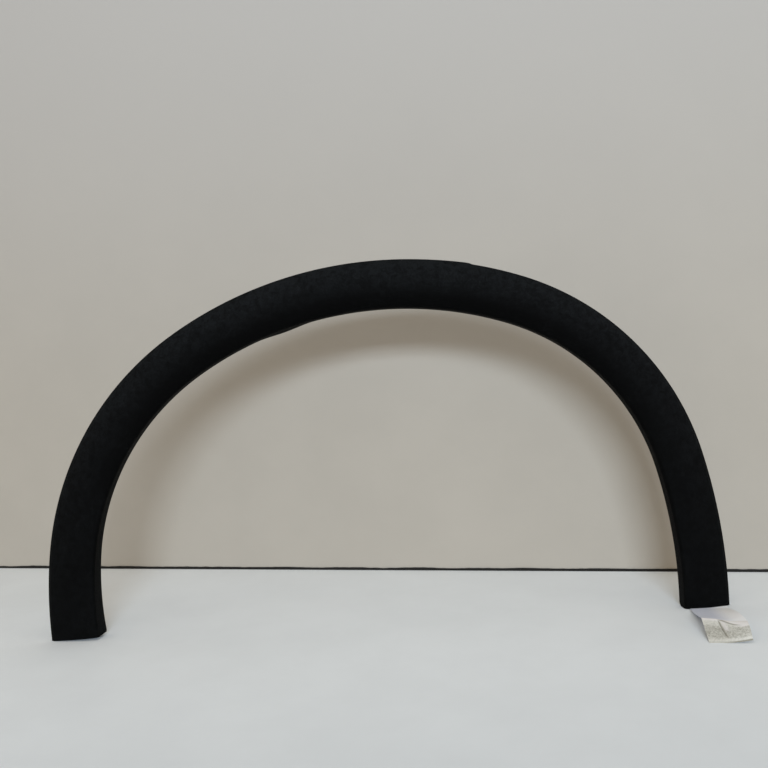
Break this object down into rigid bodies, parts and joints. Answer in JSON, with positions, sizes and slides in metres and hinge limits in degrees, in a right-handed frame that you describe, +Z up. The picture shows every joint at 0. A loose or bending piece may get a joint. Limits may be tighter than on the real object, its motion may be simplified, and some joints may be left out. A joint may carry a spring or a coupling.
{
  "type": "fender moulding",
  "caption": "Arched wheel-opening trim with crowned face, rolled inner edge, return flange, clip seats and locating pins; a blank paper slip lies under one foot.",
  "frame": {"origin": "on the axis of the locating pin at the crown, in the plane in which the outer lip meets the body panel there", "axes": "-Y is the way the face looks, +Z is up, +X is to the right as seen from outside the car"},
  "size_m": [0.8703, 0.1539, 0.46],
  "materials": {
    "moulded_plastic": "matt fine grained black",
    "label_paper": "matt creased paper"
  },
  "bodies": {
    "root": {"arch_moulding": "moulded_plastic", "stock_label": "label_paper"}
  },
  "joints": []
}
